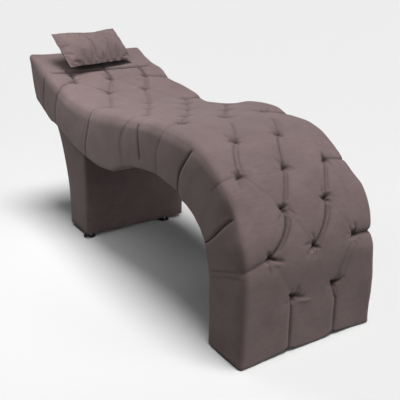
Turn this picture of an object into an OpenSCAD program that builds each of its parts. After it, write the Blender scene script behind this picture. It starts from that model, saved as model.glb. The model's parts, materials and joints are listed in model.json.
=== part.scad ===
// Wave treatment couch: a button-tufted body on its own front leg and a box pedestal, with a loose head pillow.
// +X points to the foot end and +Z up. The origin is on the floor, under the middle of the couch.

/* [Overall] */
// Length over the upholstery, head end to foot end
body_l = 1850; // [1550:10:2250]
// Width over the upholstery
body_w = 624; // [560:4:760]
// Height of the head end's top edge
head_h = 826; // [740:2:1000]
// Thickness of the upholstered body, square to its top surface
body_t = 200; // [165:1:240]

/* [Wave] */
// Length of the back slope, head end to the valley's corner
back_l = 495; // [430:5:600]
// Height of the corner that the valley rounds
valley_h = 664; // [600:2:700]
// Distance from the foot end to the corner that the knee rounds
knee_l = 585; // [520:5:700]
// Height of the corner that the knee rounds
knee_h = 749; // [700:2:800]
// Height of the corner that the foot end rounds
crest_h = 735; // [690:2:790]
// Radius of the valley, on the top surface
valley_r = 900; // [600:10:1100]
// Radius of the knee, on the top surface
knee_r = 900; // [500:10:1100]
// Radius of the foot end's curve, on the top surface
foot_r = 430; // [360:5:520]
// Lean of the head end's face, inwards as it goes down
head_lean = 10; // [0:1:15]

/* [Upholstery] */
// Thickness of the cover fabric
cover_t = 2; // [1:0.5:3]
// Depth from the top surface to the deck under the foam
pad_t = 75; // [62:1:90]
// Thickness of the foam on the sides and on the head end
wrap_t = 15; // [10:1:20]
// Radius of a tufting button
button_r = 13; // [10:0.5:15]
// Depth of a tuft, top surface to the foot of its button
tuft_depth = 40; // [30:1:48]
// Spacing of the button columns across the couch
column_pitch = 100; // [85:1:110]
// Distance from the head end to the first row of buttons
first_row = 300; // [250:5:340]
// Distance from the floor to the last row of buttons
last_row = 221; // [200:1:280]

/* [Frame] */
// Thickness of the plywood ribs and boards
ply_t = 18; // [12:1:24]
// Thickness of the bent deck under the foam
deck_t = 5; // [4:1:8]
// Thickness of the bent board that closes the underside
under_t = 4; // [3:1:6]
// Width of a cross rail, along the couch
rail_w = 40; // [30:1:50]
// Depth of a cross rail
rail_h = 30; // [25:1:40]
// Distance from the middle to each inner rib's centre line
inner_rib_y = 50; // [45:1:55]

/* [Pedestal] */
// Distance from the head end to the foot of the pedestal's rear face
ped_set = 338; // [300:2:400]
// Length of the pedestal at the floor
ped_l = 200; // [165:1:240]
// Width of the pedestal over its fabric
ped_w = 558; // [500:2:600]
// Thickness of the padded fabric on the pedestal
ped_cloth_t = 4; // [3:1:6]
// Height at which the rear face starts to flare
flare_from = 110; // [80:5:200]
// Radius of the rear face's flare
flare_r = 700; // [600:10:1000]
// Thickness of the bent board behind the rear fabric
bent_t = 12; // [9:1:15]

/* [Feet] */
// Height of the pedestal's underside above the floor
ped_lift = 20; // [18:1:26]
// Height of the leg's underside above the floor
leg_lift = 4; // [3:1:8]
// Radius of a levelling foot's pad
pad_r = 30; // [24:0.5:34]
// Travel of a levelling foot
foot_travel = 10; // [6:1:12]
// Inset of a corner foot's centre from the pedestal's faces
foot_inset = 17; // [16:1:30]
// Inset of the two inboard feet's centres from the pedestal's sides
inboard_inset = 109; // [80:1:150]

/* [Pillow] */
// Width of the pillow, across the couch
pillow_w = 400; // [340:5:450]
// Height of the pillow along its seam plane
pillow_l = 205; // [190:5:260]
// Distance from the head end to the pillow's middle, along the couch
pillow_x = 127; // [110:1:160]
// Height of the pillow's middle above the couch's top surface
pillow_up = 90; // [86:1:100]
// Tilt of the pillow's seam plane from level
pillow_tilt = 43; // [35:1:48]
// Turn of the pillow on the couch
pillow_turn = 12.5; // [0:0.5:15]
// Depth of the pillow's bulge in front of its seam plane
pillow_bulge = 45; // [35:1:60]

/* [Hidden] */
$fn = 48;

// Clearances and small stock sizes
running_gap = 0.08;    // radial, stem in its pad and in its insert
seat_gap = 0.3;        // face to face where a curved seat would touch
anchor_gap = 0.5;      // twine anchor under the bent deck
facet = 2;             // degrees of turn for each flat of a bend
big = 3000;            // longer than any section, for cutting

fabric = [0.49, 0.43, 0.43];
foam_colour = [0.93, 0.88, 0.70];
ply = [0.80, 0.66, 0.46];
steel = [0.72, 0.73, 0.75];
black = [0.06, 0.06, 0.06];

// ---------- The wave: the couch's long section, as straight lines with rounded corners ----------

x_head = -body_l / 2;
x_foot = body_l / 2;
corners = [
    [x_head, head_h], [x_head + back_l, valley_h], [x_foot - knee_l, knee_h],
    [x_foot, crest_h], [x_foot, leg_lift]
];
bends = [0, valley_r, knee_r, foot_r];
heads = [for (i = [0:3]) (corners[i + 1] - corners[i]) / norm(corners[i + 1] - corners[i])];

function inward(t) = [t[1], -t[0]];
function meet(p, t, q, u) = p + t * cross(q - p, u) / cross(t, u);
// Line i of the section, d below the top surface
function line_at(i, d) = corners[i] + inward(heads[i]) * d;
// Where the head end's face, e inside the upholstery, meets the curve d below the top surface
function head_point(d, e) = meet(
    line_at(0, d), heads[0],
    [x_head, head_h] + e * [cos(head_lean), sin(head_lean)], [sin(head_lean), -cos(head_lean)]
);
function turn_at(i) = asin(cross(heads[i - 1], heads[i]));
function spin(v, a) = [v[0] * cos(a) - v[1] * sin(a), v[0] * sin(a) + v[1] * cos(a)];
// The rounded corner i, d below the top surface: a hollow bend widens with depth and a hump tightens
function bend_at(i, d) =
    let (
        turn = turn_at(i),
        r = bends[i] + sign(turn) * d,
        apex = meet(line_at(i - 1, d), heads[i - 1], line_at(i, d), heads[i]),
        from = apex - heads[i - 1] * r * tan(abs(turn) / 2),
        middle = from - inward(heads[i - 1]) * sign(turn) * r,
        steps = ceil(abs(turn) / facet)
    )
    [for (k = [0:steps]) middle + spin(from - middle, turn * k / steps)];
// The whole curve, d below the top surface, e inside the head end, f above the leg's underside
function curve(d, e = 0, f = 0) =
    [head_point(d, e), each bend_at(1, d), each bend_at(2, d), each bend_at(3, d), [x_foot - d, leg_lift + f]];
function back_to_front(v) = [for (i = [len(v) - 1:-1:0]) v[i]];
function running(c, i = 0, s = 0) =
    i == len(c) - 1 ? [s] : concat([s], running(c, i + 1, s + norm(c[i + 1] - c[i])));

top_curve = curve(0);
top_run = running(top_curve);
top_x = [for (i = [0:len(top_run) - 1]) [top_run[i], top_curve[i][0]]];
top_z = [for (i = [0:len(top_run) - 1]) [top_run[i], top_curve[i][1]]];
wave_l = top_run[len(top_run) - 1];
function slope_at(s) = atan2(lookup(s + 2, top_z) - lookup(s - 2, top_z), lookup(s + 2, top_x) - lookup(s - 2, top_x));

module lift_section(y0, y1) translate([0, y1, 0]) rotate([90, 0, 0]) linear_extrude(y1 - y0) children();
// A layer of the body, from d0 to d1 below its top surface
module layer(d0, d1, y0, y1, e = 0, f = 0)
    lift_section(y0, y1) polygon(concat(curve(d0, e, f), back_to_front(curve(d1, e, f))));
// A board or pad across the head end
module head_layer(d0, d1, e0, e1, y0, y1)
    lift_section(y0, y1) polygon([head_point(d0, e0), head_point(d0, e1), head_point(d1, e1), head_point(d1, e0)]);
// Stands children on the top surface at s along it, d deep: +Z leaves the surface and +X runs to the foot end
module on_wave(s, y, d = 0)
    translate([lookup(s, top_x), y, lookup(s, top_z)]) rotate([0, -slope_at(s), 0]) translate([0, 0, -d]) children();
module above_underside(y)
    lift_section(-y, y) polygon(concat(curve(body_t, -body_t), [[x_foot - body_t, big], [x_head - body_t, big]]));

// ---------- Levels and lines that the pieces share ----------

foam_y = body_w / 2 - cover_t;          // outer face of the side foam
rib_y = foam_y - wrap_t;                // outer face of the outer ribs
rail_y = rib_y - ply_t;                 // inner face of the outer ribs
deck_d = pad_t + deck_t;                // depth of the deck's underside
frame_d = body_t - cover_t - under_t;   // depth of the ribs' lower edge
foam_e = cover_t + wrap_t;              // from the head end to the frame
rib_e = foam_e + ply_t;                 // from the head end to the ribs

// Rows of buttons: three in a row, then two, and so on. Hand tufting lets a row stand a little to one side.
row_gaps = [140, 250, 170, 170, 140, 130, 256, 171, 150, 160, 173];
row_shift = [0, 20, 0, 0, 0, 0, 0, -30, -22, 0, 6, 14];
function total(v, n) = n == 0 ? 0 : v[n - 1] + total(v, n - 1);
row_stretch = (wave_l - first_row - last_row) / total(row_gaps, len(row_gaps));
rows = [for (i = [0:len(row_gaps)]) first_row + row_stretch * total(row_gaps, i)];
function columns(i) = i % 2 == 0 ? [-2, 0, 2] * column_pitch : [-1, 1] * column_pitch;
tufts = [for (i = [0:len(rows) - 1]) for (y = columns(i)) [rows[i], y + row_shift[i]]];
pocket_r = button_r + 2;
twine_r = 1.2;
deck_hole_r = 3;
anchor_r = 9;
anchor_t = 3;

// Rails stand half way between the rows, with one at each end
end_room = 8;          // between the head board and the first rail
leg_rail_up = 110;     // from the leg's underside to the last rail
rail_d = deck_d + 1.5;
head_rail_s = (head_point(rail_d + rail_h, rib_e) - corners[0]) * heads[0] + rail_w / 2 + end_room;
rail_at = concat([head_rail_s], [for (i = [0:len(rows) - 2]) (rows[i] + rows[i + 1]) / 2], [wave_l - leg_rail_up]);
screw_r = 2;
screw_l = 50;

module at_tufts(d) for (t = tufts) on_wave(t[0], t[1], d) children();

// ---------- Upholstery of the body ----------

module tufted_cover() color(fabric) difference() {
    layer(0, body_t, -body_w / 2, body_w / 2);
    layer(cover_t, body_t + 1, -foam_y, foam_y, cover_t, -1);
    at_tufts(cover_t + 1) cylinder(r = pocket_r, h = cover_t + 3);
}
module underside_cover() color(fabric) difference() {
    union() {
        layer(body_t - cover_t, body_t, -foam_y, foam_y, cover_t);
        translate([x_foot - body_t, -foam_y, leg_lift]) cube([body_t - cover_t, 2 * foam_y, cover_t]);
    }
    at_mounting_bolts(body_t + 1) cylinder(r = bolt_hole_r, h = cover_t + 2);
    at_leg_glides() cylinder(r = nail_hole_r, h = cover_t + 2, center = true);
}
module top_foam() color(foam_colour) difference() {
    layer(cover_t, pad_t, -rib_y, rib_y, foam_e, cover_t);
    at_tufts(tuft_depth) cylinder(r = pocket_r, h = tuft_depth + 5);
    at_tufts(pad_t + 1) cylinder(r = deck_hole_r, h = pad_t);
}
module side_foam(side) color(foam_colour)
    layer(cover_t, body_t - cover_t, min(side * rib_y, side * foam_y), max(side * rib_y, side * foam_y), foam_e, cover_t);
module side_foam_near() side_foam(-1);
module side_foam_far() side_foam(1);
module head_foam() color(foam_colour)
    head_layer(cover_t, body_t - cover_t, cover_t, foam_e, -foam_y, foam_y);

module tuft_buttons() color(fabric) at_tufts(tuft_depth) {
    edge_t = 3;
    dome_h = 7;
    dome_r = (button_r * button_r + dome_h * dome_h) / (2 * dome_h);
    cylinder(r = button_r, h = edge_t);
    translate([0, 0, edge_t]) intersection() {
        cylinder(r = button_r, h = dome_h);
        translate([0, 0, dome_h - dome_r]) sphere(dome_r);
    }
}
module button_twines() color("white")
    at_tufts(deck_d + anchor_gap) cylinder(r = twine_r, h = deck_d + anchor_gap - tuft_depth);
module twine_anchors() color("white")
    at_tufts(deck_d + anchor_gap + anchor_t) cylinder(r = anchor_r, h = anchor_t);

// ---------- Frame of the body ----------

module deck() color(ply) difference() {
    layer(pad_t, deck_d, -rib_y, rib_y, foam_e, cover_t);
    at_tufts(deck_d + 1) cylinder(r = deck_hole_r, h = deck_t + 2);
}
module underside_board() color(ply) difference() {
    layer(frame_d, body_t - cover_t, -rib_y, rib_y, foam_e, cover_t);
    at_mounting_bolts(body_t) cylinder(r = bolt_hole_r, h = under_t + cover_t + 1);
}
module rib(y) color(ply) layer(deck_d, frame_d, y, y + ply_t, rib_e, cover_t + ply_t);
module outer_rib_near() rib(-rib_y);
module outer_rib_far() rib(rail_y);
module inner_rib(y) difference() {
    rib(y - ply_t / 2);
    // Notches for the rails, open at the rib's upper edge
    for (s = rail_at) on_wave(s, y, rail_d + rail_h) translate([-rail_w / 2, -ply_t, 0]) cube([rail_w, 2 * ply_t, 2 * rail_h]);
}
module inner_rib_near() inner_rib(-inner_rib_y);
module inner_rib_far() inner_rib(inner_rib_y);
module rail_bars() for (s = rail_at)
    on_wave(s, 0, rail_d + rail_h / 2) cube([rail_w, 2 * rail_y, rail_h], center = true);
module at_rail_ends() for (s = rail_at) for (side = [-1, 1])
    on_wave(s, side * rib_y, rail_d + rail_h / 2) rotate([side * 90, 0, 0]) children();
module cross_rails() color(ply) rail_bars();
module rail_screws() color(steel) at_rail_ends() cylinder(r = screw_r, h = screw_l);
module head_board() color(ply) head_layer(deck_d, frame_d, foam_e, rib_e, -rib_y, rib_y);
module foot_rail() color(ply) difference() {
    translate([x_foot - frame_d, -rib_y, leg_lift + cover_t]) cube([frame_d - deck_d, 2 * rib_y, ply_t]);
    at_leg_glides() cylinder(r = nail_hole_r, h = 2 * nail_l, center = true);
}

leg_glide_r = 11;
nail_r = 1.45;
nail_hole_r = nail_r + 0.05;
nail_l = 14;
leg_glide_y = rib_y - 35;
module at_leg_glides() for (x = [-1, 1]) for (y = [-1, 1])
    translate([x_foot - (deck_d + frame_d) / 2 + x * (frame_d - deck_d) / 4, y * leg_glide_y, leg_lift]) children();
module leg_glides() color(black) at_leg_glides() {
    translate([0, 0, -leg_lift]) cylinder(r = leg_glide_r, h = leg_lift);
    cylinder(r = nail_r, h = nail_l);
}

// ---------- Joint between the body and the pedestal ----------

ped_rear_x = x_head + ped_set;
ped_front_x = ped_rear_x + ped_l;
ped_inner_y = ped_w / 2 - ped_cloth_t - ply_t;    // inner face of the side boards
bolt_r = 4;
bolt_hole_r = bolt_r + 0.5;
bolt_y = 170;
bolt_s = [for (x = [ped_rear_x - 10, ped_front_x - 50]) x_to_run(x)];
block_h = 40;
top_board_d = body_t + ply_t;                     // depth of the top board's underside
washer_t = 1.6;
nut_h = 6.5;
// Run along the top surface to the point over x, on the back slope and the valley
function x_to_run(x) = lookup(x, [for (i = [0:len(top_run) - 1]) if (top_curve[i][0] < x_foot - 10) [top_curve[i][0], top_run[i]]]);

module at_mounting_bolts(d) for (s = bolt_s) for (y = [-1, 1]) on_wave(s, y * bolt_y, d) children();
module mounting_blocks() color(ply) difference() {
    intersection() {
        union() for (side = [-1, 1])
            layer(frame_d - block_h, frame_d,
                  min(side * rail_y, side * (inner_rib_y + ply_t / 2)), max(side * rail_y, side * (inner_rib_y + ply_t / 2)),
                  rib_e, cover_t);
        translate([ped_rear_x - 60, -body_w, 0]) cube([ped_l + 70, 2 * body_w, big]);
    }
    at_mounting_bolts(body_t) cylinder(r = bolt_hole_r, h = block_h + 30);
}
module mounting_bolts() color(steel) {
    at_mounting_bolts(top_board_d + seat_gap + washer_t) cylinder(r = bolt_r, h = block_h + ply_t + washer_t + nut_h + 10);
    at_mounting_bolts(top_board_d + seat_gap + washer_t + 5.3) cylinder(r = 7.5, h = 5.3, $fn = 6);
}
module bolt_washers() color(steel) at_mounting_bolts(top_board_d + seat_gap + washer_t) difference() {
    cylinder(r = 12, h = washer_t);
    translate([0, 0, -1]) cylinder(r = bolt_r + running_gap, h = washer_t + 2);
}
module bolt_nuts() color(steel) at_mounting_bolts(frame_d - block_h - seat_gap) difference() {
    cylinder(r = 7.5, h = nut_h, $fn = 6);
    translate([0, 0, -1]) cylinder(r = bolt_r + running_gap, h = nut_h + 2);
}

// ---------- Pedestal ----------

// Side outline of the pedestal, rear_t and front_t inside its fabric, from height z up past the body's underside
module pedestal_outline(rear_t, front_t, z) polygon(concat(
    [[ped_front_x - front_t, head_h], [ped_front_x - front_t, z], [ped_rear_x + rear_t, z]],
    [for (a = [0:facet:45])
        [ped_rear_x - flare_r, flare_from] + (flare_r + rear_t) * [cos(a), sin(a)]]
));
module pedestal_solid(rear_t, front_t, z, y0, y1) lift_section(y0, y1) pedestal_outline(rear_t, front_t, z);
module under_body(d = 0) difference() {
    children();
    translate([0, 0, -d]) above_underside(body_w);
}

base_z = ped_lift + ply_t;
module pedestal_side(y0) color(ply) under_body() pedestal_solid(ped_cloth_t, ped_cloth_t, base_z, y0, y0 + ply_t);
module pedestal_side_near() pedestal_side(-ped_inner_y - ply_t);
module pedestal_side_far() pedestal_side(ped_inner_y);
module pedestal_front_board() color(ply) under_body() translate([ped_front_x - ped_cloth_t - ply_t, -ped_inner_y, base_z])
    cube([ply_t, 2 * ped_inner_y, head_h]);
module pedestal_rear_board() color(ply) under_body() difference() {
    pedestal_solid(ped_cloth_t, ped_l / 2, base_z, -ped_inner_y, ped_inner_y);
    pedestal_solid(ped_cloth_t + bent_t, ped_cloth_t, base_z - 1, -body_w, body_w);
}
module pedestal_base_board() color(ply) difference() {
    translate([ped_rear_x + ped_cloth_t, -ped_inner_y - ply_t, ped_lift])
        cube([ped_l - 2 * ped_cloth_t, 2 * (ped_inner_y + ply_t), ply_t]);
    for (p = foot_places) translate([p[0], p[1], ped_lift - 1]) cylinder(r = insert_r + running_gap, h = ply_t + 2);
}
module pedestal_top_board() color(ply) difference() {
    intersection() {
        layer(body_t, top_board_d, -ped_inner_y, ped_inner_y, -body_t);
        pedestal_solid(ped_cloth_t + bent_t, ped_cloth_t + ply_t, base_z, -body_w, body_w);
    }
    at_mounting_bolts(top_board_d + 2) cylinder(r = bolt_hole_r, h = ply_t + 4);
}
post_w = 30;
module pedestal_corner_posts() color(ply) difference() {
    for (x = [ped_rear_x + ped_cloth_t + bent_t, ped_front_x - ped_cloth_t - ply_t - post_w])
        for (y = [-ped_inner_y, ped_inner_y - post_w])
            translate([x, y, base_z]) cube([post_w, post_w, head_h]);
    lift_section(-body_w, body_w)
        polygon(concat(curve(top_board_d, -body_t), [[x_foot - body_t, big], [x_head - body_t, big]]));
}
module pedestal_cover_side(y0) color(fabric) under_body() pedestal_solid(0, 0, ped_lift, y0, y0 + ped_cloth_t);
module pedestal_cover_near() pedestal_cover_side(-ped_w / 2);
module pedestal_cover_far() pedestal_cover_side(ped_w / 2 - ped_cloth_t);
cover_y = ped_w / 2 - ped_cloth_t;
module pedestal_cover_front() color(fabric) under_body() translate([ped_front_x - ped_cloth_t, -cover_y, ped_lift])
    cube([ped_cloth_t, 2 * cover_y, head_h]);
module pedestal_cover_rear() color(fabric) under_body() difference() {
    pedestal_solid(0, ped_l / 2, ped_lift, -cover_y, cover_y);
    pedestal_solid(ped_cloth_t, ped_cloth_t, ped_lift - 1, -body_w, body_w);
}

// ---------- Levelling feet ----------

foot_places = [
    [ped_front_x - foot_inset, -ped_w / 2 + foot_inset],
    [ped_front_x - foot_inset, ped_w / 2 - inboard_inset],
    [ped_rear_x + foot_inset + 4, -ped_w / 2 + inboard_inset],
    [ped_rear_x + foot_inset + 4, ped_w / 2 - foot_inset]
];
insert_r = 5.5;
insert_h = 14;
flange_r = 11;
flange_t = 1.2;
stem_r = 4;
base_h = 6;            // rim of the pad
hub_h = 12;            // top of the pad's hub
hub_r = 13;
stem_seat = 4;         // height of the stem's lower end in the pad's socket
nut_t = 5;             // hexagon on the stem
hex_r = 7.5;

module foot_inserts() color(steel) for (p = foot_places) translate([p[0], p[1], ped_lift]) difference() {
    union() {
        cylinder(r = insert_r, h = insert_h);
        translate([0, 0, -flange_t]) cylinder(r = flange_r, h = flange_t);
    }
    translate([0, 0, -flange_t - 1]) cylinder(r = stem_r + running_gap, h = insert_h + flange_t + 2);
}
// A low domed disc with a hub: its section is turned about the stem's axis
module foot_pad(n) translate([foot_places[n - 1][0], foot_places[n - 1][1], 0]) color(black) rotate_extrude() polygon([
    [0, 0], [pad_r - 2, 0], [pad_r, 2], [pad_r, base_h - 1.5], [pad_r - 1.5, base_h], [hub_r + 2, base_h + 1.5],
    [hub_r, base_h + 3], [hub_r - 1.5, hub_h], [stem_r + running_gap, hub_h],
    [stem_r + running_gap, stem_seat - running_gap], [0, stem_seat - running_gap]
]);
module foot_stem(n) translate([foot_places[n - 1][0], foot_places[n - 1][1], 0]) color(steel) {
    translate([0, 0, stem_seat]) cylinder(r = stem_r, h = base_z - 2 - stem_seat);
    translate([0, 0, hub_h + seat_gap]) cylinder(r = hex_r, h = nut_t, $fn = 6);
}
module foot_pad_1() foot_pad(1);
module foot_pad_2() foot_pad(2);
module foot_pad_3() foot_pad(3);
module foot_pad_4() foot_pad(4);
module foot_stem_1() foot_stem(1);
module foot_stem_2() foot_stem(2);
module foot_stem_3() foot_stem(3);
module foot_stem_4() foot_stem(4);

// ---------- Pillow ----------

pillow_s = x_to_run(x_head + pillow_x);
pillow_y = -22;
pillow_seat = 104;     // length of the pillow's underside that rests on the couch
pillow_back = 18;      // its distance behind the pillow's middle
module pillow() color(fabric) hull() {
    translate([x_head + pillow_x, pillow_y, lookup(pillow_s, top_z) + pillow_up])
        rotate([0, 0, pillow_turn]) rotate([0, pillow_tilt, 0]) {
            cube([pillow_l, pillow_w, 8], center = true);
            translate([0, 0, pillow_bulge / 2]) cube([pillow_l * 0.62, pillow_w * 0.7, pillow_bulge], center = true);
        }
    on_wave(pillow_s - pillow_back, pillow_y, -seat_gap) rotate([0, 0, pillow_turn])
        translate([-pillow_seat / 2, -pillow_w * 0.34, 0]) cube([pillow_seat, pillow_w * 0.68, 2]);
}

tufted_cover();
underside_cover();
top_foam();
side_foam_near();
side_foam_far();
head_foam();
tuft_buttons();
button_twines();
twine_anchors();
deck();
underside_board();
outer_rib_near();
outer_rib_far();
inner_rib_near();
inner_rib_far();
cross_rails();
rail_screws();
head_board();
foot_rail();
leg_glides();
mounting_blocks();
mounting_bolts();
bolt_washers();
bolt_nuts();
pedestal_side_near();
pedestal_side_far();
pedestal_front_board();
pedestal_rear_board();
pedestal_base_board();
pedestal_top_board();
pedestal_corner_posts();
pedestal_cover_near();
pedestal_cover_far();
pedestal_cover_front();
pedestal_cover_rear();
foot_inserts();
foot_pad_1();
foot_pad_2();
foot_pad_3();
foot_pad_4();
foot_stem_1();
foot_stem_2();
foot_stem_3();
foot_stem_4();
pillow();
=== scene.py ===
import json
import math
import random
import bmesh
import bpy
import numpy as np
from mathutils import Matrix, Vector, noise


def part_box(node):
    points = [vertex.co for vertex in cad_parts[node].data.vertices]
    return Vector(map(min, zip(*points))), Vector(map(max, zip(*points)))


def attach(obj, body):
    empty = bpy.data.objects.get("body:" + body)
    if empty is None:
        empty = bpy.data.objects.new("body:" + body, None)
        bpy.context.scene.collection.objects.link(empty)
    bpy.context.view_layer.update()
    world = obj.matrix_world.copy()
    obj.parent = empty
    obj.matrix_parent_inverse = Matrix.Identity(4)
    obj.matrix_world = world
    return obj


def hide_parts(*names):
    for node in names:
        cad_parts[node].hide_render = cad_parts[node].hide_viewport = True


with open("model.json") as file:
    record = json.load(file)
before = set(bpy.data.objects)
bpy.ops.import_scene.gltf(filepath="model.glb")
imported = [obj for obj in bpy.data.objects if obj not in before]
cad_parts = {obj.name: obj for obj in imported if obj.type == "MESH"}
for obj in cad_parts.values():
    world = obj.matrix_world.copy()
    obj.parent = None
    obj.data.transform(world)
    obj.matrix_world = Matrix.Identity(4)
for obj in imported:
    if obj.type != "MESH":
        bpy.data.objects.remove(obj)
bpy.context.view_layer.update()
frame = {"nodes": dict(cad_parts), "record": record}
nodes = frame["nodes"]
print("frame loaded:", len(nodes), "nodes")


# Small helpers

def smooth(x, low, high):
    t = np.clip((x - low) / (high - low), 0.0, 1.0)
    return t * t * (3.0 - 2.0 * t)


def toObject(bm, name, shadeSmooth=True):
    mesh = bpy.data.meshes.new(name)
    bm.to_mesh(mesh)
    bm.free()
    piece = bpy.data.objects.new(name, mesh)
    bpy.context.scene.collection.objects.link(piece)
    if shadeSmooth:
        mesh.polygons.foreach_set("use_smooth", [True] * len(mesh.polygons))
    return piece


def block(size, counts):  # a block from 0 to size, cut into an even grid
    bm = bmesh.new()
    bmesh.ops.create_cube(bm, size=1.0)
    bmesh.ops.translate(bm, verts=bm.verts, vec=(0.5, 0.5, 0.5))
    bmesh.ops.scale(bm, verts=bm.verts, vec=size)
    for axis, count in enumerate(counts):
        others = [a for a in range(3) if a != axis]
        along = [e for e in bm.edges
                 if all(abs(e.verts[0].co[a] - e.verts[1].co[a]) < 1e-5 for a in others)]
        if count > 1:
            bmesh.ops.subdivide_edges(bm, edges=along, cuts=count - 1, use_grid_fill=True)
    return bm


def getPoints(mesh):
    co = np.empty(len(mesh.vertices) * 3)
    mesh.vertices.foreach_get("co", co)
    return co.reshape(-1, 3)


def setPoints(mesh, co):
    mesh.vertices.foreach_set("co", np.ascontiguousarray(co, dtype=np.float32).ravel())
    mesh.update()


# block points onto a rounded block, with each point's outward direction
def roundBox(co, low, high, radius):
    inner = np.clip(co, low + radius, high - radius)
    reach = co - inner
    length = np.maximum(np.linalg.norm(reach, axis=1, keepdims=True), 1e-9)
    out = reach / length
    return inner + out * radius, out


def softNoise(points, scale, seed):
    shift = Vector((seed * 3.1, seed * 1.7, seed * 2.3))
    return np.array([noise.noise(Vector(p) / scale + shift) for p in points])


# The wave that the body follows

wave = {
    "corners": [(-0.925, 0.826), (-0.430, 0.664), (0.340, 0.749), (0.925, 0.735), (0.925, 0.004)],
    "radii": [0.900, 0.900, 0.430],
    "headLean": 10.0,
    "leanReach": 0.400,
    "thickness": 0.200,
}


def tracePath(corners, radii):
    points = [np.array(c) for c in corners]
    ways = [(b - a) / np.linalg.norm(b - a) for a, b in zip(points, points[1:])]
    angles = [math.atan2(w[1], w[0]) for w in ways]
    run, place, angle = [0.0], [points[0]], [angles[0]]
    for i, radius in enumerate(radii):
        turn = angles[i + 1] - angles[i]
        side = math.copysign(1.0, turn)
        start = points[i + 1] - ways[i] * radius * math.tan(abs(turn) / 2)
        run.append(run[-1] + np.linalg.norm(start - place[-1]))
        place.append(start)
        angle.append(angles[i])
        centre = start + side * radius * np.array([-math.sin(angles[i]), math.cos(angles[i])])
        steps = int(math.degrees(abs(turn)) * 4) + 1
        for k in range(1, steps + 1):
            a = angles[i] + turn * k / steps
            place.append(centre + side * radius * np.array([math.sin(a), -math.cos(a)]))
            angle.append(a)
            run.append(run[-1] + radius * abs(turn) / steps)
    run.append(run[-1] + np.linalg.norm(points[-1] - place[-1]))
    place.append(points[-1])
    angle.append(angles[-1])
    return np.array(run), np.array(place), np.array(angle)


pathRun, pathPlace, pathAngle = tracePath(wave["corners"], wave["radii"])
waveLength = pathRun[-1]
headShear = math.tan(math.radians(wave["headLean"]) - pathAngle[0])
coverLow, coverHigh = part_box("tufted_cover")
halfWidth = (coverHigh.y - coverLow.y) / 2


def onWave(s, y, d, out=None, lift=None):  # block points to the wave, moved by lift along out
    s = s + headShear * d * np.clip(1 - s / wave["leanReach"], 0, 1)
    a = np.interp(s, pathRun, pathAngle)
    beyond = s - np.clip(s, 0, waveLength)
    x = np.interp(s, pathRun, pathPlace[:, 0]) + d * np.sin(a) + beyond * np.cos(a)
    z = np.interp(s, pathRun, pathPlace[:, 1]) - d * np.cos(a) + beyond * np.sin(a)
    co = np.stack([x, np.broadcast_to(y, x.shape), z], axis=1)
    if out is not None:
        way = np.stack([out[:, 0] * np.cos(a) + out[:, 2] * np.sin(a), out[:, 1],
                        out[:, 0] * np.sin(a) - out[:, 2] * np.cos(a)], axis=1)
        co = co + way * lift[:, None]
    return co


def undersideHeight(x):
    s = np.linspace(0.0, waveLength * 0.8, 900)
    low = onWave(s, 0.0, np.full_like(s, wave["thickness"]))
    order = np.argsort(low[:, 0])
    return np.interp(x, low[order, 0], low[order, 2])


def tuftPlaces():  # each button's run along the wave and its place across it, from the CAD buttons
    bm = bmesh.new()
    bm.from_mesh(nodes["tuft_buttons"].data)
    bmesh.ops.remove_doubles(bm, verts=bm.verts, dist=1e-5)
    seen, found = set(), []
    for v in bm.verts:
        if v in seen:
            continue
        group = {v}
        waiting = [v]
        while waiting:
            for e in waiting.pop().link_edges:
                for w in e.verts:
                    if w not in group:
                        group.add(w)
                        waiting.append(w)
        seen |= group
        found.append(sum((w.co for w in group), Vector()) / len(group))
    bm.free()
    fine = np.linspace(0.0, waveLength, 4000)
    deep = onWave(fine, 0.0, np.full_like(fine, 0.036))
    places = []
    for c in found:
        gap = (deep[:, 0] - c.x) ** 2 + (deep[:, 2] - c.z) ** 2
        places.append((float(fine[int(np.argmin(gap))]), float(c.y)))
    return sorted(places)


tufts = tuftPlaces()
rows = []
for s, y in tufts:
    if not rows or s - rows[-1][0] > 0.05:
        rows.append([s, []])
    rows[-1][1].append(y)
print("tufts:", len(tufts), "rows:", [round(r[0], 3) for r in rows])


# The tufted body. Places on it are (run along the wave, place round the section): past the top edge, the
# second number runs down the side.

body = {
    "grid": (0.0037, 0.0037, 0.0070),   # mesh spacing along, across and down
    "topRadius": 0.024, "nearRadius": 0.040,
    "lowRadius": 0.006,
    "endRadius": 0.009,
    "crown": 0.004, "endCrown": 0.004,
    "pitDepth": 0.016, "pitReach": 0.013,
    "bowlDepth": 0.008, "bowlReach": 0.040,
    "lipHeight": 0.0016, "lipAt": 0.024,
    "sideCrown": 0.006,
    "edgeReach": 0.060,
    "tuckedIn": 0.014,                  # how far in from each side the underside stays flat
    "rays": 7, "rayLength": 0.040, "rayDepth": 0.0036,
}
edge = halfWidth

# how far each long top edge stands out from the plain round edge: the stuffing bulges between pleats
farEdge = [(0.00, 0.001), (0.17, 0.006), (0.27, 0.018), (0.36, 0.007), (0.50, 0.021), (0.60, 0.014),
           (0.685, -0.006), (0.73, -0.022), (0.82, -0.031), (0.92, -0.025), (1.01, -0.010), (1.10, 0.008),
           (1.18, 0.009), (1.27, 0.000), (1.36, -0.018), (1.46, -0.017), (1.56, -0.022), (1.64, -0.032),
           (1.72, -0.036), (1.79, -0.028), (1.87, -0.008), (1.95, -0.006), (2.04, -0.009), (2.11, 0.002),
           (2.25, 0.010), (2.43, 0.006)]
nearEdge = [(0.00, 0.006), (0.17, 0.009), (0.26, 0.010), (0.35, 0.000), (0.52, 0.009), (0.69, 0.000),
            (0.87, 0.009), (1.06, 0.001), (1.15, 0.000), (1.24, 0.003), (1.33, -0.003), (1.43, 0.003),
            (1.53, -0.005), (1.63, 0.001), (1.74, -0.001), (1.80, 0.001), (1.87, -0.006), (1.97, 0.003),
            (2.05, -0.002), (2.20, 0.004), (2.43, 0.004)]
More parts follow.
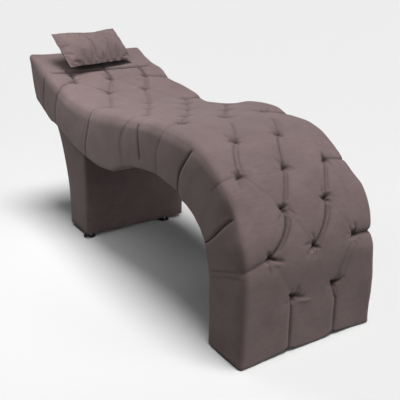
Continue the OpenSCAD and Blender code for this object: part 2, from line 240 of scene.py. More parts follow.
# how much deeper than the frame the padded sides hang
lowerEdge = [(0.00, -0.007), (0.16, 0.003), (0.25, 0.008), (0.35, -0.005), (0.54, 0.014), (0.65, 0.030),
             (0.77, 0.049), (0.86, 0.049), (1.01, 0.011), (1.11, -0.005), (1.23, -0.007), (1.31, -0.005),
             (1.38, 0.003), (1.48, 0.013), (1.55, 0.035), (1.70, 0.033), (1.88, 0.024), (2.04, 0.020),
             (2.20, 0.006), (2.43, 0.000)]


def along(stops, s):  # a smooth curve through the stops
    x, y = np.array(stops).T
    slope = np.zeros_like(y)
    step = np.diff(y) / np.diff(x)
    same = step[:-1] * step[1:] > 0
    slope[1:-1] = np.where(same, 2 * step[:-1] * step[1:] / np.where(same, step[:-1] + step[1:], 1.0), 0.0)
    i = np.clip(np.searchsorted(x, s) - 1, 0, len(x) - 2)
    h = x[i + 1] - x[i]
    t = np.clip((s - x[i]) / h, 0, 1)
    return (y[i] * (2 * t ** 3 - 3 * t ** 2 + 1) + slope[i] * h * (t ** 3 - 2 * t ** 2 + t)
            + y[i + 1] * (3 * t ** 2 - 2 * t ** 3) + slope[i + 1] * h * (t ** 3 - t ** 2))


# Creases. Each is (places, depth, width), and a depth below zero is a raised lip. They start from the tufts,
# which come from the CAD buttons.
folds = []


def tuftAt(row, place):
    return rows[row][0], rows[row][1][place]


def bowed(start, stop, bow=0.0, span=(0.0, 1.0), shift=0.0):  # a line across the top that bows to one side
    places = []
    for t in np.linspace(span[0], span[1], 6):
        s = start[0] + (stop[0] - start[0]) * t
        places.append((s, start[1] + (stop[1] - start[1]) * t + 4 * bow * t * (1 - t) + shift))
    return places


def downSide(side, top, crossing, lean, reach=1.0, gather=0.7, bow=0.0, shift=0.0):
    # from the top, over the long edge at crossing, and down the side, leaning along the wave as it goes
    places = []
    if top is not None:
        for t in (0.0, 0.5):
            places.append((top[0] + (crossing - top[0]) * t + 4 * bow * t * (1 - t),
                           top[1] + (side * edge - top[1]) * t))
    deep = wave["thickness"] + float(along(lowerEdge, crossing))
    for t in np.linspace(0.0 if top is not None else 0.08, reach, 7):
        share = float(smooth(t / gather, 0.0, 1.0) / smooth(1 / gather, 0.0, 1.0))
        places.append((crossing + lean * share + shift, side * (edge + deep * t)))
    return places


headSeam = {"at": 0.206, "skew": 0.006, "near": -0.285, "far": 0.270, "lip": 0.013}
seamNear = (headSeam["at"], headSeam["near"])
seamFar = (headSeam["at"] + headSeam["skew"], headSeam["far"])
folds.append((bowed(seamNear, seamFar), 0.011, 0.0042))
folds.append((bowed((seamNear[0] - headSeam["lip"], seamNear[1] + 0.025),
                    (seamFar[0] - headSeam["lip"], seamFar[1] - 0.020)), -0.005, 0.006))
for place in range(3):
    y = tuftAt(0, place)[1]
    folds.append((bowed((0.195, y + 0.005), (0.290, y + 0.005), bow=0.005), 0.0105, 0.007))

pleatsDown = [   # side, tuft, how far past it the long edge is crossed, lean, depth, width, other settings
    (-1, (0, 0), 0.060, -0.015, 0.0060, 0.004, {"bow": -0.008}),
    (-1, (2, 0), 0.015, -0.060, 0.0060, 0.004, {"bow": 0.003, "gather": 0.75}),
    (-1, (4, 0), 0.035, -0.070, 0.0035, 0.004, {"bow": 0.010, "gather": 0.5}),
    (-1, (6, 0), 0.045, -0.045, 0.0025, 0.004, {}),
    (-1, (8, 0), 0.010, 0.000, 0.0030, 0.005, {"reach": 0.18}),
    (-1, (10, 0), 0.025, 0.000, 0.0060, 0.009, {"reach": 0.08}),
    (1, (0, 2), 0.065, -0.015, 0.0080, 0.006, {}),
    (1, (2, 2), -0.005, -0.035, 0.0120, 0.007, {}),
    (1, (4, 2), 0.000, -0.035, 0.0070, 0.006, {}),
    (1, (6, 2), 0.060, -0.060, 0.0110, 0.007, {"gather": 1.0}),
    (1, (8, 2), 0.005, 0.040, 0.0080, 0.006, {"gather": 1.2}),
    (1, (10, 2), 0.005, 0.025, 0.0140, 0.008, {"reach": 0.7, "gather": 1.2}),
]
for side, (row, place), past, lean, depth, width, more in pleatsDown:
    top = tuftAt(row, place)
    folds.append((downSide(side, top, top[0] + past, lean, **more), depth, width))

sewnDown = [   # pleats that start at the long edge: side, crossing, lean, depth, width, other settings
    (-1, seamNear[0] + 0.006, -0.052, 0.0060, 0.004, {}),
    (-1, 0.705, -0.060, 0.0020, 0.004, {"shift": -0.024, "gather": 0.75, "reach": 0.9}),
    (-1, 1.065, -0.070, 0.0020, 0.004, {"shift": 0.020, "gather": 0.5}),
    (-1, 1.150, 0.007, 0.0120, 0.004, {"reach": 0.8}),
    (-1, 1.545, -0.073, 0.0100, 0.0042, {}),
    (-1, 1.870, 0.090, 0.0110, 0.0045, {"gather": 1.4}),
    (-1, 2.065, 0.080, 0.0022, 0.004, {"gather": 1.4, "reach": 0.8}),
    (-1, 2.090, 0.080, 0.0015, 0.004, {"gather": 1.4, "reach": 0.8}),
    (1, seamFar[0], -0.050, 0.0070, 0.006, {"gather": 0.9}),
    (1, 1.545, -0.073, 0.0120, 0.007, {"gather": 0.85}),
]
for side, crossing, lean, depth, width, more in sewnDown:
    folds.append((downSide(side, None, crossing, lean, **more), depth, width))

# from tuft, to tuft, bow, depth, width, the part of the way that it covers, shift of a twin
pleatsAcross = [
    ((0, 2), (1, 1), 0.020, 0.0040, 0.006, (0.0, 0.9), 0.0),
    ((0, 0), (1, 0), 0.000, 0.0060, 0.007, (0.65, 0.95), 0.0),
    ((6, 1), (7, 0), 0.012, 0.0035, 0.005, (0.4, 1.0), 0.0),
    ((6, 2), (7, 1), 0.010, 0.0040, 0.005, (0.45, 1.0), 0.0),
    ((6, 2), (7, 1), 0.010, 0.0025, 0.004, (0.55, 0.95), 0.016),
    ((7, 0), (8, 0), -0.018, 0.0050, 0.005, (0.0, 1.0), 0.0),
    ((7, 0), (8, 0), -0.018, 0.0032, 0.004, (0.25, 0.95), 0.018),
    ((7, 1), (8, 1), -0.014, 0.0055, 0.005, (0.0, 1.0), 0.0),
    ((8, 1), (9, 0), -0.003, 0.0055, 0.005, (0.0, 1.0), 0.0),
    ((8, 1), (9, 0), -0.003, 0.0040, 0.004, (0.2, 0.85), 0.014),
    ((8, 2), (9, 1), -0.011, 0.0060, 0.005, (0.0, 1.0), 0.0),
    ((8, 2), (9, 1), -0.011, 0.0035, 0.004, (0.25, 0.8), 0.014),
    ((9, 0), (10, 0), 0.028, 0.0130, 0.006, (0.0, 1.0), 0.0),
    ((9, 0), (10, 0), 0.028, 0.0060, 0.005, (0.3, 0.85), 0.018),
    ((9, 1), (10, 1), 0.012, 0.0110, 0.006, (0.0, 1.0), 0.0),
    ((9, 1), (10, 1), 0.012, 0.0045, 0.005, (0.25, 0.85), 0.020),
    ((9, 0), (10, 1), 0.000, 0.0011, 0.006, (0.05, 0.95), 0.0),
    ((9, 1), (10, 2), 0.000, 0.0010, 0.006, (0.05, 0.95), 0.0),
    ((8, 0), (9, 0), 0.000, 0.0010, 0.006, (0.1, 0.95), 0.0),
    ((10, 2), (11, 1), -0.015, 0.0030, 0.005, (0.1, 1.0), 0.0),
    ((10, 2), (11, 1), -0.015, 0.0022, 0.005, (0.25, 0.85), 0.035),
    ((10, 0), (11, 0), 0.000, 0.0008, 0.008, (0.1, 0.95), 0.0),
    ((10, 1), (11, 0), 0.000, 0.0006, 0.008, (0.1, 0.95), 0.0),
]
for first, second, bow, depth, width, span, shift in pleatsAcross:
    folds.append((bowed(tuftAt(*first), tuftAt(*second), bow, span, shift), depth, width))

# short tucks beside the foot's tufts: tuft, start and stop from it, depth, width
tucks = [
    ((10, 0), (0.000, 0.000), (0.020, 0.050), 0.0080, 0.006),
    ((10, 0), (0.020, 0.005), (0.030, 0.045), -0.0035, 0.005),
    ((11, 0), (0.000, 0.000), (0.010, 0.045), 0.0080, 0.006),
    ((11, 0), (0.020, 0.005), (0.030, 0.075), -0.0040, 0.005),
    ((11, 1), (0.000, 0.000), (-0.015, 0.040), 0.0070, 0.006),
]
for tuft, start, stop, depth, width in tucks:
    s, y = tuftAt(*tuft)
    folds.append((bowed((s + start[0], y + start[1]), (s + stop[0], y + stop[1])), depth, width))
hem = {"rise": 0.012, "drop": 0.003, "at": [-0.095, 0.125],
       "kinks": [(0.030, -0.010), (0.050, 0.003)]}
for place, at in enumerate(hem["at"]):   # a pleat from each of the last tufts down to the hem
    s, y = tuftAt(11, place)
    kink = hem["kinks"][place]
    folds.append(([(s, y - 0.007), (s + kink[0], y + kink[1]), (s + 0.065, at), (waveLength + 0.01, at)],
                  0.008, 0.005))
backPleat = {"depth": 0.0045, "lean": 1.0, "cross": 0.35, "lastRow": 6, "stagger": 0.045}
for i in range(backPleat["lastRow"]):
    s0, s1 = rows[i][0], rows[i + 1][0]
    for y0 in rows[i][1]:
        for y1 in rows[i + 1][1]:
            if abs(abs(y1 - y0) - 0.1) < backPleat["stagger"]:
                share = backPleat["lean"] if y1 < y0 else backPleat["cross"]
                line = [(s0, y0), ((s0 + s1) / 2, (y0 + y1) / 2 + 0.004), (s1, y1)]
                folds.append((line, backPleat["depth"] * share, 0.006))
                if y1 < y0:
                    folds.append(([(s, y + 0.012) for s, y in line], backPleat["depth"] * 0.5, 0.004))
dice = random.Random(12)
for ts, ty in tufts:
    turn = dice.uniform(0, 2 * math.pi)
    for k in range(body["rays"]):
        a = turn + 2 * math.pi * (k + dice.uniform(-0.3, 0.3)) / body["rays"]
        reach = body["rayLength"] * dice.uniform(0.6, 1.3)
        bend = dice.uniform(-0.35, 0.35)
        line = [(ts + 0.008 * math.cos(a), ty + 0.008 * math.sin(a)),
                (ts + 0.55 * reach * math.cos(a), ty + 0.55 * reach * math.sin(a)),
                (ts + reach * math.cos(a + bend), ty + reach * math.sin(a + bend))]
        folds.append((line, body["rayDepth"] * dice.uniform(0.4, 1.2), 0.0045))


def foldField(s, v):  # how far the folds pull the cover in, and the painted shade that darkens their bottoms
    pull = np.zeros_like(s)
    ridge = np.zeros_like(s)
    shade = np.zeros_like(s)
    for line, depth, width in folds:
        pts = np.array(line)
        lengths = np.linalg.norm(np.diff(pts, axis=0), axis=1)
        total = lengths.sum()
        margin = width * 10
        near = ((s > pts[:, 0].min() - margin) & (s < pts[:, 0].max() + margin)
                & (v > pts[:, 1].min() - margin) & (v < pts[:, 1].max() + margin))
        if not near.any():
            continue
        sn, vn = s[near], v[near]
        best = np.full_like(sn, 9.0)
        run = np.zeros_like(sn)
        done = 0.0
        for a, b, length in zip(pts, pts[1:], lengths):
            t = np.clip(((sn - a[0]) * (b[0] - a[0]) + (vn - a[1]) * (b[1] - a[1])) / length ** 2, 0, 1)
            gap = np.hypot(sn - a[0] - t * (b[0] - a[0]), vn - a[1] - t * (b[1] - a[1]))
            run = np.where(gap < best, (done + t * length) / total, run)
            best = np.minimum(gap, best)
            done += length
        fade = 0.35 + 0.65 * np.sin(math.pi * np.clip(0.12 + 0.80 * run, 0, 1)) ** 0.6
        sharp = np.exp(-(best / width) ** 1.3)
        broad = np.exp(-(best / (width * 3.0)) ** 2)
        part = abs(depth) * fade * (0.82 * sharp + 0.18 * broad)
        if depth < 0:
            ridge[near] = np.maximum(ridge[near], part)
            continue
        pull[near] = np.maximum(pull[near], part) + 0.3 * np.minimum(pull[near], part)
        # painted shade: the colour darkens along each crease's bottom, more for deep, narrow creases
        shade[near] = np.maximum(shade[near], sharp * fade * min(1.0, depth / width / 1.9))
    return pull - ridge, shade


def coverField(s, v):
    pull, shade = foldField(s, v)
    away = np.abs(v)
    side = smooth(away, edge - 0.01, edge + 0.03)
    depth = wave["thickness"] + along(lowerEdge, s)
    lift = body["crown"] * (1 - side)
    lift += body["endCrown"] * np.exp(-(s / 0.08) ** 2) * (1 - side)
    lift += body["sideCrown"] * side * np.sin(math.pi * np.clip((away - edge) / depth, 0, 1))
    bulge = np.where(v > 0, along(farEdge, s), along(nearEdge, s))
    wide = np.where((bulge < 0) & (away < edge), 1.5, 1.0)
    lift += bulge * np.exp(-((away - edge - 0.008) / (body["edgeReach"] * wide)) ** 2)
    for ts, ty in tufts:
        r2 = (s - ts) ** 2 + (v - ty) ** 2
        near = r2 < 0.18 ** 2
        r = np.sqrt(r2[near])
        spoke = np.arctan2(v[near] - ty, s[near] - ts)
        star = 1 + 0.30 * np.cos(3 * spoke + 60 * ts) + 0.22 * np.cos(5 * spoke + 90 * ty)
        pit = np.exp(-(r / body["pitReach"] / star) ** 1.6)
        bowl = np.exp(-(r / body["bowlReach"]) ** 1.3)
        lift[near] -= body["pitDepth"] * pit + body["bowlDepth"] * bowl
        lift[near] += body["lipHeight"] * np.exp(-((r / star - body["lipAt"]) / 0.006) ** 2)
        # painted shade: each tuft's pit is darkened in the colour as well
        shade[near] = np.maximum(shade[near], pit)
    return lift - pull, shade


def hemWave(y):  # the foot's lower edge rises at the two pleats and hangs between them
    stops = np.array([-halfWidth] + hem["at"] + [halfWidth])
    span = np.clip(np.searchsorted(stops, y), 1, len(stops) - 1)
    t = (y - stops[span - 1]) / (stops[span] - stops[span - 1])
    start = np.where(span == 1, 0.5, 0.0)
    stop = np.where(span == len(stops) - 1, 0.5, 1.0)
    arch = np.sin(math.pi * (start + t * (stop - start))) ** 0.7
    return hem["drop"] * arch - hem["rise"] * (1 - arch)


def makeBody():
    size = (waveLength, 2 * halfWidth, wave["thickness"])
    counts = [int(round(size[a] / body["grid"][a])) for a in range(3)]
    bm = block(size, counts)
    inner = [e for e in bm.edges if all(v.co.z > size[2] - 1e-6 for v in e.verts)
             and abs(e.verts[0].co.y - e.verts[1].co.y) < 1e-5
             and 0.03 < e.verts[0].co.y < size[1] - 0.03
             and 0.03 < min(v.co.x for v in e.verts) and max(v.co.x for v in e.verts) < size[0] - 0.03]
    bmesh.ops.dissolve_edges(bm, edges=inner, use_verts=True)
    bmesh.ops.reverse_faces(bm, faces=bm.faces)   # depth runs down, which mirrors the block as it is placed
    piece = toObject(bm, "tuftedBody")
    co = getPoints(piece.data)
    co[:, 1] -= halfWidth
    s, y, d = co[:, 0].copy(), co[:, 1].copy(), co[:, 2].copy()
    v = np.sign(y) * (np.minimum(np.abs(y), halfWidth) + np.where(np.abs(y) > halfWidth - 1e-5, d, 0))
    low = np.array([0.0, -halfWidth, 0.0])
    high = np.array([waveLength, halfWidth, wave["thickness"]])
    mix = np.maximum(smooth(d, 0.05, 0.15), smooth(s, waveLength - 0.30, waveLength - 0.03) * 0.5)
    soft = smooth(-y, 0.0, 0.1) * smooth(s, 0.22, 0.40) * (1 - smooth(s, 1.45, 1.80))
    top = body["topRadius"] * (1 - soft) + body["nearRadius"] * soft
    radius = top * (1 - mix) + body["lowRadius"] * mix
    ends = np.maximum(1 - smooth(s, 0.0, 0.12), smooth(s, waveLength - 0.04, waveLength))
    radius = (radius * (1 - ends) + np.minimum(radius, body["endRadius"]) * ends)[:, None]
    shaped, out = roundBox(co, low, high, radius)
    lift, shade = coverField(s, v)
    onTop = smooth(-out[:, 2] + np.abs(out[:, 1]), 0.1, 0.7)
    under = smooth(out[:, 2], 0.3, 0.9)
    ripple = softNoise(np.stack([s, v, v * 0], axis=1), 0.075, 1) * 0.0016
    hemSide = smooth(out[:, 0], 0.3, 0.9) * (s > waveLength / 2)
    lift = (lift + ripple) * onTop * (1 - under) * (1 - hemSide)
    hang = along(lowerEdge, s)
    hang = np.where(np.abs(y) < halfWidth - body["tuckedIn"], np.maximum(hang, 0), hang)
    shaped[:, 2] += hang * shaped[:, 2] / wave["thickness"]
    shaped[:, 0] += hemWave(y) * smooth(s, waveLength - 0.12, waveLength) * (1 - smooth(d, 0.01, 0.06))
    setPoints(piece.data, onWave(shaped[:, 0], shaped[:, 1], shaped[:, 2], out, lift))
    # the painted shade of creases and pits is stored as a point attribute for the material
    paintedShadeLayer = piece.data.attributes.new("foldShade", "FLOAT", "POINT")
    paintedShadeLayer.data.foreach_set("value", np.ascontiguousarray(shade, dtype=np.float32))
    return piece


tuftedBody = makeBody()
print("body made:", len(tuftedBody.data.polygons), "faces")


# The cloth that closes the underside

underCloth = {"spacing": (0.016, 0.026), "inset": 0.011, "proud": 0.0025, "thick": 0.003}


def makeUnderside():
    size = (waveLength - 2 * underCloth["inset"], 2 * (halfWidth - underCloth["inset"]), underCloth["thick"])
    bm = block(size, (int(size[0] / underCloth["spacing"][0]), int(size[1] / underCloth["spacing"][1]), 1))
    bmesh.ops.reverse_faces(bm, faces=bm.faces)
    piece = toObject(bm, "undersideCloth")
    co = getPoints(piece.data)
    s = co[:, 0] + underCloth["inset"]
    y = co[:, 1] - size[1] / 2
    hang = np.maximum(along(lowerEdge, s), 0)
    d = co[:, 2] + wave["thickness"] + hang + underCloth["proud"] - underCloth["thick"]
    setPoints(piece.data, onWave(s, y, d))
    return piece


undersideCloth = makeUnderside()
underRun = np.linspace(underCloth["inset"], waveLength - underCloth["inset"], 600)
underPath = onWave(underRun, 0.0, wave["thickness"] + np.maximum(along(lowerEdge, underRun), 0))
underLength = float(np.linalg.norm(np.diff(underPath, axis=0), axis=1).sum())
print("underside cloth:", round(underLength, 3), "m long")


# The pedestal's padded panels

pedestal = {
    "spacing": 0.009,
    "thick": 0.011,
    "radius": 0.0045,
    "crown": 0.003,
    "sewnGap": 0.0012,     # from a panel's edge to the corner that two panels share
    "sideWidth": 0.2,
    "flareFrom": 0.110,
    "flareRadius": 0.700,
    "tuckIn": 0.006,       # how far a panel runs up into the body's underside
}
pedLow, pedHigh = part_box("pedestal_cover_near")
pedFront = pedHigh.x
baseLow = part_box("pedestal_base_board")[0]
pedRear = baseLow.x - 0.004
pedBottom = baseLow.z - 0.005
pedNear = pedLow.y
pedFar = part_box("pedestal_cover_far")[1].y


def rearAt(z):
    rise = np.maximum(z - pedestal["flareFrom"], 0)
    return pedRear - pedestal["flareRadius"] + np.sqrt(pedestal["flareRadius"] ** 2 - rise ** 2)


def panelPoints(u, w):  # u across a side panel from rear to front, w from the foot to the body
    z = pedBottom + w * 0.5
    for _ in range(30):
        x = rearAt(z) * (1 - u) + pedFront * u
        z = pedBottom + w * (undersideHeight(x) + pedestal["tuckIn"] - pedBottom)
    return x, z


def makePanel(name, width, height, place):
    bm = block((width, height, pedestal["thick"]),
               (int(width / pedestal["spacing"]), int(height / pedestal["spacing"]), 4))
    piece = toObject(bm, name)
    co = getPoints(piece.data)
    size = np.array([width, height, pedestal["thick"]])
    shaped, out = roundBox(co, np.zeros(3), size, np.full((len(co), 1), pedestal["radius"]))
    u = shaped[:, 0] / width
    w = shaped[:, 1] / height
    puff = pedestal["crown"] * (1 - np.abs(2 * u - 1) ** 4) * (1 - smooth(1 - w, 0.93, 1.0))
    flat = np.stack([shaped[:, 0], shaped[:, 1], shaped[:, 0] * 0], axis=1)
    rough = softNoise(flat, 0.09, len(name)) * 0.0012
    outward = shaped[:, 2] + (puff + rough) * smooth(out[:, 2], 0.2, 0.9)
    setPoints(piece.data, place(u, w, pedestal["thick"] - outward))
    bm = bmesh.new()
    bm.from_mesh(piece.data)
    bmesh.ops.recalc_face_normals(bm, faces=bm.faces)
    bm.to_mesh(piece.data)
    bm.free()
    return piece


def sidePlace(side):
    def place(u, w, depth):
        gap = pedestal["sewnGap"] / pedestal["sideWidth"]
        x, z = panelPoints(np.clip(u, 0, 1) * (1 - 2 * gap) + gap, np.clip(w, 0, 1))
        y = (pedNear if side < 0 else pedFar) - side * depth
        return np.stack([x, np.broadcast_to(y, x.shape), z], axis=1)
    return place


def frontPlace(u, w, depth):
    gap = pedestal["sewnGap"]
    y = pedNear + gap + u * (pedFar - pedNear - 2 * gap)
    x = pedFront - depth
    top = undersideHeight(np.full_like(u, pedFront)) + pedestal["tuckIn"]
    return np.stack([x, y, pedBottom + w * (top - pedBottom)], axis=1)


def rearPlace(u, w, depth):
    gap = pedestal["sewnGap"]
    y = pedNear + gap + u * (pedFar - pedNear - 2 * gap)
    x, z = panelPoints(np.zeros_like(u), w)
    rise = np.maximum(z - pedestal["flareFrom"], 0)
    a = np.arcsin(np.clip(rise / pedestal["flareRadius"], 0, 1))
    return np.stack([x + depth * np.cos(a), y, z + depth * np.sin(a)], axis=1)


panelNear = makePanel("pedestalNear", pedFront - pedRear, 0.46, sidePlace(-1))
panelFar = makePanel("pedestalFar", pedFront - pedRear, 0.46, sidePlace(1))
panelFront = makePanel("pedestalFront", pedFar - pedNear, 0.44, frontPlace)
panelRear = makePanel("pedestalRear", pedFar - pedNear, 0.52, rearPlace)
print("pedestal made")


# The pillow

pillow = {
    "size": (0.212, 0.402), "spacing": 0.0050, "flatThick": 0.006,
    "pressure": 3.5, "frames": 30, "mass": 0.25, "tension": 12.0, "bending": 0.06,
    "spare": 0.038,                 # how much wider each sheet is cut than the seam that gathers it
    "centre": (-0.795, -0.022, 0.873), "tilt": 43.0, "turn": 12.5,
    "fill": (0.050, 0.060),         # how thick the filling makes it in front of and behind the seam
    "sag": (0.20, 0.40, 0.012),     # where the upper edge sags, how wide and how deep
}


def fillPillow(piece):  # two flat sheets sewn together and blown up, which gathers them along the seam
    cloth = piece.modifiers.new("filling", "CLOTH")
    values = cloth.settings
    values.quality = 6
    values.mass = pillow["mass"]
    values.tension_stiffness = values.compression_stiffness = pillow["tension"]
    values.shear_stiffness = pillow["tension"] * 0.4
    values.bending_stiffness = pillow["bending"]
    values.use_pressure = True
    values.uniform_pressure_force = pillow["pressure"]
    values.effector_weights.gravity = 0.0
    values.shrink_min = values.shrink_max = -pillow["spare"]
    values.vertex_group_mass = "seam"
    values.pin_stiffness = 1.0
    cloth.collision_settings.use_collision = False
    cloth.point_cache.frame_start = 1
    cloth.point_cache.frame_end = pillow["frames"]
    scene = bpy.context.scene
    for frameNumber in range(1, pillow["frames"] + 1):
        scene.frame_set(frameNumber)
        bpy.context.view_layer.update()
    filled = piece.evaluated_get(bpy.context.evaluated_depsgraph_get())
    co = getPoints(filled.data)
    piece.modifiers.clear()
    scene.frame_set(1)
    return co


def makePillow():
    l, w = pillow["size"]
    bm = block((l, w, pillow["flatThick"]), (int(l / pillow["spacing"]), int(w / pillow["spacing"]), 1))
    bmesh.ops.translate(bm, verts=bm.verts, vec=(-l / 2, -w / 2, -pillow["flatThick"] / 2))
    bmesh.ops.recalc_face_normals(bm, faces=bm.faces)
    piece = toObject(bm, "headPillow")
    start = getPoints(piece.data)
    u, v = start[:, 0] / (l / 2), start[:, 1] / (w / 2)
    rim = np.minimum(1 - np.abs(u), 1 - np.abs(v))
    flat = start.copy()
    flat[:, 2] *= 0.15 + 0.85 * smooth(rim, 0.0, 0.1)
    flat[:, 2] += softNoise(start, 0.03, 5) * 0.0006
    setPoints(piece.data, flat)
    seam = piece.vertex_groups.new(name="seam")
    seam.add([int(i) for i in np.flatnonzero(rim < 1e-4)], 1.0, "ADD")
    co = fillPillow(piece)
    print("pillow filled:", co.min(axis=0).round(3), co.max(axis=0).round(3))
    for side, most in ((1, pillow["fill"][0]), (-1, pillow["fill"][1])):
        there = co[:, 2] * side > 0
        co[there, 2] *= most / np.abs(co[there, 2]).max()
    where, wide, deep = pillow["sag"]
    upper = smooth(-u, 0.2, 1.0)
    co[:, 0] += deep * upper * np.exp(-((v - where) / wide) ** 2)
    turn = Matrix.Translation(pillow["centre"]) @ Matrix.Rotation(math.radians(pillow["turn"]), 4, "Z") \
        @ Matrix.Rotation(math.radians(pillow["tilt"]), 4, "Y")
    setPoints(piece.data, co)
    piece.data.transform(turn)
    smoother = piece.modifiers.new("smoother", "SUBSURF")
    smoother.levels = smoother.render_levels = 1
    return piece


headPillow = makePillow()
print("pillow made")


# Materials

class Link:  # wraps a node's output so that shader sums read as plain sums
    def __init__(self, tree, socket):
        self.tree = tree
        self.socket = socket

    def sum(self, operation, a, b=None):
        node = self.tree.nodes.new("ShaderNodeMath")
        node.operation = operation
        for slot, value in enumerate((a, b)):
            if isinstance(value, Link):
                self.tree.links.new(value.socket, node.inputs[slot])
            elif value is not None:
                node.inputs[slot].default_value = value
        return Link(self.tree, node.outputs[0])

    def __add__(self, other):
        return self.sum("ADD", self, other)

    def __radd__(self, other):
        return self.sum("ADD", other, self)

    def __sub__(self, other):
        return self.sum("SUBTRACT", self, other)

    def __rsub__(self, other):
        return self.sum("SUBTRACT", other, self)

    def __mul__(self, other):
        return self.sum("MULTIPLY", self, other)

    def __rmul__(self, other):
        return self.sum("MULTIPLY", other, self)


class Finish:  # a material and its node tree
    def __init__(self, name):
        self.material = bpy.data.materials.new(name)
        self.material.use_nodes = True
        self.tree = self.material.node_tree
        self.shader = self.tree.nodes["Principled BSDF"]
        place = self.tree.nodes.new("ShaderNodeTexCoord")
        self.place = Link(self.tree, place.outputs["Object"])

    def node(self, kind, settings=None, output=0, **sockets):  # a socket's name, or i and its number
        made = self.tree.nodes.new(kind)
        for key, value in (settings or {}).items():
            if key == "stops":
                ramp = made.color_ramp
                while len(ramp.elements) < len(value):
                    ramp.elements.new(0.5)
                for stop, (where, colour) in zip(ramp.elements, value):
                    stop.position = where
                    stop.color = colour
            else:
                setattr(made, key, value)
        for key, value in sockets.items():
            numbered = key[0] == "i" and key[1:].isdigit()
            socket = made.inputs[int(key[1:]) if numbered else key.replace("_", " ")]
            if isinstance(value, Link):
                self.tree.links.new(value.socket, socket)
            else:
                socket.default_value = value
        return Link(self.tree, made.outputs[output])

    def set(self, **sockets):
        for key, value in sockets.items():
            socket = self.shader.inputs[key.replace("_", " ")]
            if isinstance(value, Link):
                self.tree.links.new(value.socket, socket)
            else:
                socket.default_value = value
        return self


def blendColour(finish, factor, a, b, way="MIX"):
    return finish.node("ShaderNodeMix", {"data_type": "RGBA", "blend_type": way}, output=2,
                       i0=factor, i6=a, i7=b)


velour = {
    "light": (0.112, 0.082, 0.081, 1.0),
    "dark": (0.036, 0.0245, 0.0238, 1.0),
    # the next colour is painted shade, which creases and tuft pits are darkened towards
    "creasePaintedShade": (0.009, 0.005, 0.0045, 1.0),
    "sheen": 0.08, "sheenTint": (0.90, 0.80, 0.80, 1.0),
    "napScale": 9.0, "pileScale": 1400.0,
    "brushScale": (55.0, 7.0, 55.0),   # the nap is brushed across the couch
}


def velourFinish(name, withPaintedShade):
    finish = Finish(name)
    nap = finish.node("ShaderNodeTexNoise", Vector=finish.place, Scale=velour["napScale"], Detail=4.0,
                      Roughness=0.6)
    pile = finish.node("ShaderNodeTexNoise", Vector=finish.place, Scale=velour["pileScale"], Detail=2.0)
    strokes = finish.node("ShaderNodeTexNoise", Vector=finish.place, Scale=42.0, Detail=5.0, Roughness=0.7)
    turned = finish.node("ShaderNodeMapping", Vector=finish.place, Scale=velour["brushScale"])
    brush = finish.node("ShaderNodeTexNoise", Vector=turned, Scale=3.0, Detail=3.0, Roughness=0.6)
    tone = nap * 0.40 + strokes * 0.25 + brush * 0.30 + pile * 0.05
    colour = blendColour(finish, tone, velour["dark"], velour["light"])
    # painted shade: creases and tuft pits are darkened in the base colour by the foldShade mask
    if withPaintedShade:
        shade = finish.node("ShaderNodeAttribute", {"attribute_name": "foldShade"}, output=2)
        colour = blendColour(finish, shade * 0.85, colour, velour["creasePaintedShade"])
    height = pile * 0.5 + strokes * 0.3 + brush * 0.2
    bump = finish.node("ShaderNodeBump", Height=height, Strength=0.45, Distance=0.0022)
    finish.set(Base_Color=colour, Roughness=0.92 - nap * 0.1, Normal=bump)
    finish.set(Sheen_Weight=velour["sheen"], Sheen_Roughness=0.45, Sheen_Tint=velour["sheenTint"],
               Specular_IOR_Level=0.15)
    return finish.material


def plainFinish(name, colour, roughness, metallic=0.0, grain=0.0, coat=0.0):
    finish = Finish(name)
    spots = finish.node("ShaderNodeTexNoise", Vector=finish.place, Scale=200.0, Detail=4.0)
    low = tuple(c * (1 - grain) for c in colour[:3]) + (1.0,)
    finish.set(Base_Color=blendColour(finish, spots, low, colour),
               Roughness=roughness + (spots - 0.5) * 0.12,
               Metallic=metallic, Coat_Weight=coat)
    bump = finish.node("ShaderNodeBump", Height=spots, Strength=0.15, Distance=0.0005)
    finish.set(Normal=bump)
    return finish.material


def plywoodFinish(name):
    finish = Finish(name)
    turned = finish.node("ShaderNodeMapping", Vector=finish.place, Scale=(3.0, 22.0, 22.0))
    grain = finish.node("ShaderNodeTexNoise", Vector=turned, Scale=6.0, Detail=6.0, Roughness=0.65)
    stops = [(0.3, (0.42, 0.26, 0.13, 1)), (0.7, (0.62, 0.44, 0.26, 1))]
    colour = finish.node("ShaderNodeValToRGB", {"stops": stops}, Fac=grain)
    bump = finish.node("ShaderNodeBump", Height=grain, Strength=0.2, Distance=0.0006)
    finish.set(Base_Color=colour, Roughness=0.62 + grain * 0.15, Normal=bump)
    return finish.material


# velour with painted shade in its creases and tuft pits, for the tufted body; plain velour for the rest
velourPaintedShade = velourFinish("velourPaintedShade", True)
velourPlain = velourFinish("velourPlain", False)
blackPad = plainFinish("glossyBlack", (0.012, 0.012, 0.013, 1), 0.22, grain=0.2, coat=0.4)
zinc = plainFinish("zincSteel", (0.62, 0.63, 0.65, 1), 0.35, metallic=1.0, grain=0.1)
foam = plainFinish("paddingFoam", (0.85, 0.78, 0.55, 1), 0.95, grain=0.12)
twine = plainFinish("waxedTwine", (0.72, 0.70, 0.64, 1), 0.7, grain=0.2)
nylon = plainFinish("naturalNylon", (0.78, 0.78, 0.75, 1), 0.5, grain=0.05)
plywood = plywoodFinish("birchPly")

slotFinish = {"velour": velourPlain, "foam": foam, "plywood": plywood, "black_plastic": blackPad,
              "zinc_steel": zinc, "twine": twine, "anchor_plastic": nylon}
for part in frame["record"]["subparts"]:
    mesh = nodes[part["node"]].data
    mesh.materials.clear()
    mesh.materials.append(slotFinish[part["material_slot"]])

for piece, finish in ((tuftedBody, velourPaintedShade), (undersideCloth, velourPlain), (panelNear, velourPlain),
                      (panelFar, velourPlain), (panelFront, velourPlain), (panelRear, velourPlain),
                      (headPillow, velourPlain)):
    piece.data.materials.append(finish)
print("materials made")


# What each piece rides on and stands for

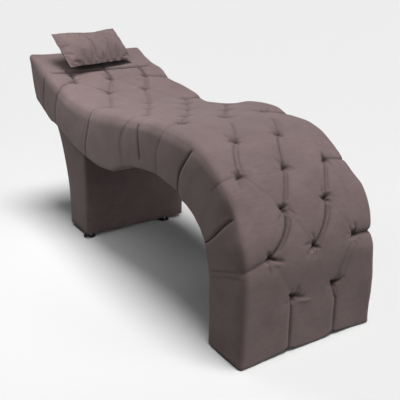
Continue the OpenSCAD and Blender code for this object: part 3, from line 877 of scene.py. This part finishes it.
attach(tuftedBody, "couch")
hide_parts("tufted_cover", "top_foam", "side_foam_near", "side_foam_far", "head_foam")
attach(undersideCloth, "couch")
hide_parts("underside_cover")
for piece, node in ((panelNear, "pedestal_cover_near"), (panelFar, "pedestal_cover_far"),
                    (panelFront, "pedestal_cover_front"), (panelRear, "pedestal_cover_rear")):
    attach(piece, "couch")
    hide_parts(node)
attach(headPillow, "pillow")
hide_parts("pillow")


# Floor, light and camera

studio = {"floorSize": 60.0, "floorTone": (0.305, 0.305, 0.305, 1.0), "worldTone": 0.05, "horizonTone": 0.80}
bpy.context.scene.view_settings.view_transform = "Standard"

bm = bmesh.new()
bmesh.ops.create_grid(bm, x_segments=1, y_segments=1, size=studio["floorSize"])
floor = toObject(bm, "floor", False)
floorFinish = Finish("paleFloor")
floorFinish.set(Base_Color=studio["floorTone"], Roughness=0.9)
floor.data.materials.append(floorFinish.material)

world = bpy.data.worlds.new("studio")
world.use_nodes = True
sky = world.node_tree
direction = sky.nodes.new("ShaderNodeTexCoord")
height = sky.nodes.new("ShaderNodeSeparateXYZ")
sky.links.new(direction.outputs["Generated"], height.inputs[0])
glow = sky.nodes.new("ShaderNodeValToRGB")   # pale at the horizon, where the floor ends, and dim above
tones = ((0.07, studio["horizonTone"]), (0.15, studio["worldTone"]))
for stop, (where, tone) in zip(glow.color_ramp.elements, tones):
    stop.position = where
    stop.color = (tone, tone, tone, 1)
sky.links.new(height.outputs["Z"], glow.inputs["Fac"])
sky.links.new(glow.outputs["Color"], sky.nodes["Background"].inputs["Color"])
bpy.context.scene.world = world


def addLight(name, kind, place, aim, energy, size=None, angle=None):
    data = bpy.data.lights.new(name, kind)
    data.energy = energy
    if size:
        data.size = size
    if angle:
        data.angle = math.radians(angle)
    lamp = bpy.data.objects.new(name, data)
    bpy.context.scene.collection.objects.link(lamp)
    lamp.location = place
    lamp.rotation_euler = (Vector(aim) - Vector(place)).to_track_quat("-Z", "Y").to_euler()
    return lamp


addLight("topSun", "SUN", (0.7, 0.2, 4.0), (0.0, 0.0, 0.0), 8.0, angle=30)
addLight("lowSun", "SUN", (1.6, 1.5, 0.9), (0.0, 0.0, 0.0), 1.35, angle=30)
addLight("backSoftbox", "AREA", (-0.3, -0.75, 1.35), (-0.15, -0.3, 0.6), 11, size=0.7)

view = {"place": (2.504, -1.5672, 1.4042), "yaw": 34.165, "pitch": 20.902, "roll": 1.114, "lens": 61.28}
yaw, pitch, roll = (math.radians(view[k]) for k in ("yaw", "pitch", "roll"))
forward = Vector((-math.cos(yaw) * math.cos(pitch), math.sin(yaw) * math.cos(pitch), -math.sin(pitch)))
level = forward.cross(Vector((0, 0, 1))).normalized()
upright = level.cross(forward)
right = level * math.cos(roll) + upright * math.sin(roll)
up = right.cross(forward)
camera = bpy.data.objects.new("camera", bpy.data.cameras.new("camera"))
camera.data.lens = view["lens"]
camera.data.sensor_width = 36.0
camera.data.clip_end = 200.0
camera.matrix_world = Matrix((
    (right.x, up.x, -forward.x, view["place"][0]),
    (right.y, up.y, -forward.y, view["place"][1]),
    (right.z, up.z, -forward.z, view["place"][2]),
    (0, 0, 0, 1)))
bpy.context.scene.collection.objects.link(camera)
bpy.context.scene.camera = camera
print("studio made")
